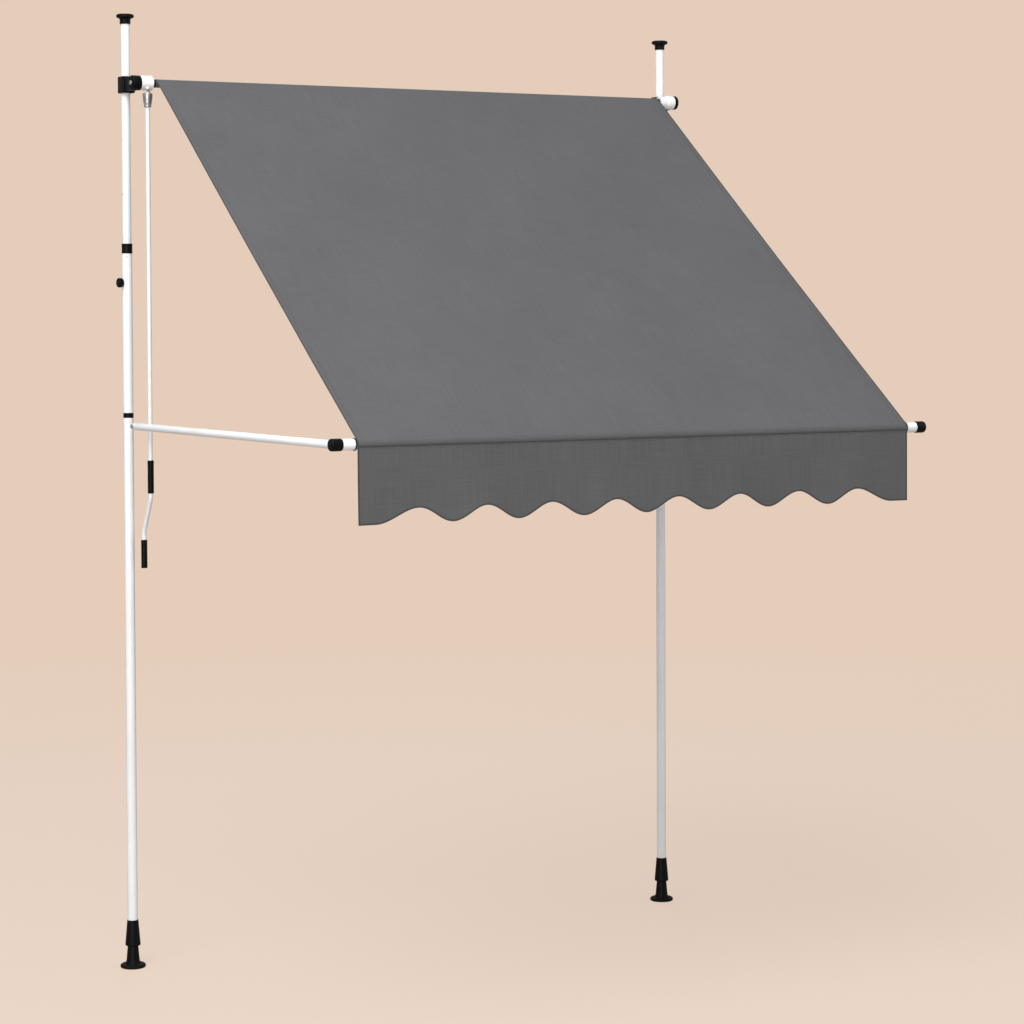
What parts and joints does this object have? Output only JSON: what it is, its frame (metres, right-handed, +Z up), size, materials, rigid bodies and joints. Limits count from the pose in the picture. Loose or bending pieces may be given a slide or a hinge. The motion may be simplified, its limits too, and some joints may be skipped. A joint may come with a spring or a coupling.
{
  "type": "clamped canvas awning",
  "caption": "Canvas awning on posts braced between floor and ceiling: crank-driven fabric roller, swinging arms, front bar and scalloped valance.",
  "frame": {"origin": "centre of the whole awning's outline, on the floor", "axes": "+Z up, the canopy reaches out towards -Y, X runs along the front bar with the crank at -X"},
  "size_m": [1.68, 1.2472, 2.45],
  "materials": {
    "white_enamel": "satin white powder coat on steel tube",
    "white_plastic": "smooth moulded white",
    "black_plastic": "fine-grained moulded black",
    "rubber": "dull moulded rubber",
    "zinc_steel": "dull zinc plate",
    "canvas": "plain-woven grey polyester canvas"
  },
  "bodies": {
    "posts": {"left_lower_tube": "white_enamel", "right_lower_tube": "white_enamel", "left_collar": "black_plastic", "right_collar": "black_plastic", "left_foot_sleeve": "black_plastic", "right_foot_sleeve": "black_plastic", "left_arm_clamp": "black_plastic", "right_arm_clamp": "black_plastic", "left_arm_clamp_screw": "zinc_steel", "right_arm_clamp_screw": "zinc_steel", "left_arm_bolt": "zinc_steel", "right_arm_bolt": "zinc_steel"},
    "left_foot": {"left_foot_pad": "rubber", "left_foot_cone": "black_plastic", "left_foot_spindle": "zinc_steel"},
    "right_foot": {"right_foot_pad": "rubber", "right_foot_cone": "black_plastic", "right_foot_spindle": "zinc_steel"},
    "left_lock": {"left_lock_knob": "black_plastic"},
    "right_lock": {"right_lock_knob": "black_plastic"},
    "upper_frame": {"left_upper_tube": "white_enamel", "right_upper_tube": "white_enamel", "left_head_cap": "black_plastic", "right_head_cap": "black_plastic", "left_roller_clamp": "black_plastic", "right_roller_clamp": "black_plastic", "left_roller_clamp_screw": "zinc_steel", "right_roller_clamp_screw": "zinc_steel", "left_roller_bolt": "zinc_steel", "right_roller_bolt": "zinc_steel", "gearbox": "white_plastic", "gearbox_cover": "white_plastic", "idle_housing": "white_plastic", "canopy": "canvas"},
    "roller": {"roller_tube": "zinc_steel", "fabric_roll": "canvas", "drive_plug": "black_plastic", "idle_plug": "black_plastic", "worm_wheel": "zinc_steel"},
    "gear_input": {"worm": "zinc_steel", "gear_eye": "zinc_steel"},
    "crank": {"crank_socket": "zinc_steel", "hook_pin": "zinc_steel", "crank_rod": "white_enamel"},
    "upper_grip": {"upper_grip": "black_plastic"},
    "lower_grip": {"lower_grip": "black_plastic"},
    "arms": {"left_arm": "white_enamel", "right_arm": "white_enamel", "left_elbow": "black_plastic", "right_elbow": "black_plastic", "left_elbow_screw": "zinc_steel", "right_elbow_screw": "zinc_steel"},
    "front_bar": {"front_bar": "white_enamel", "left_bar_ring": "black_plastic", "right_bar_ring": "black_plastic", "valance": "canvas"}
  },
  "joints": [
    {"name": "height_slide", "type": "slide", "parent": "posts", "child": "upper_frame", "axis": [0, 0, 1], "range_m": [-0.34, 0.55], "deforming": ["canopy"]},
    {"name": "arm_swing", "type": "hinge", "parent": "posts", "child": "arms", "pos_m": [0, 0.553, 1.398], "axis": [-1, 0, 0], "range_deg": [0, 60], "deforming": ["canopy"]},
    {"name": "bar_turn", "type": "hinge", "parent": "arms", "child": "front_bar", "pos_m": [0, -0.609, 1.398], "axis": [-1, 0, 0], "range_deg": [-60, 0]},
    {"name": "crank_turn", "type": "hinge", "parent": "upper_frame", "child": "gear_input", "pos_m": [-0.779, 0.514, 2.2403], "axis": [0, 0, 1], "continuous": true},
    {"name": "roller_turn", "type": "hinge", "parent": "upper_frame", "child": "roller", "pos_m": [0, 0.526, 2.271], "axis": [1, 0, 0], "continuous": true},
    {"name": "crank_swing", "type": "hinge", "parent": "gear_input", "child": "crank", "pos_m": [-0.779, 0.514, 2.2403], "axis": [-1, 0, 0], "range_deg": [-8, 28]},
    {"name": "upper_grip_turn", "type": "hinge", "parent": "crank", "child": "upper_grip", "pos_m": [-0.779, 0.514, 1.27], "axis": [0, 0, 1], "continuous": true},
    {"name": "lower_grip_turn", "type": "hinge", "parent": "crank", "child": "lower_grip", "pos_m": [-0.779, 0.562, 1.07], "axis": [0, 0, 1], "continuous": true},
    {"name": "left_lock_turn", "type": "hinge", "parent": "posts", "child": "left_lock", "pos_m": [-0.8075, 0.591, 1.765], "axis": [1, 0, 0], "continuous": true},
    {"name": "right_lock_turn", "type": "hinge", "parent": "posts", "child": "right_lock", "pos_m": [0.8075, 0.591, 1.765], "axis": [1, 0, 0], "continuous": true},
    {"name": "left_foot_turn", "type": "hinge", "parent": "posts", "child": "left_foot", "pos_m": [-0.8075, 0.591, 0], "axis": [0, 0, 1], "continuous": true},
    {"name": "right_foot_turn", "type": "hinge", "parent": "posts", "child": "right_foot", "pos_m": [0.8075, 0.591, 0], "axis": [0, 0, 1], "continuous": true}
  ],
  "couplings": [
    {"joint": "bar_turn", "follows": "arm_swing", "ratio": -1},
    {"joint": "roller_turn", "follows": "crank_turn", "ratio": 0.14286}
  ]
}
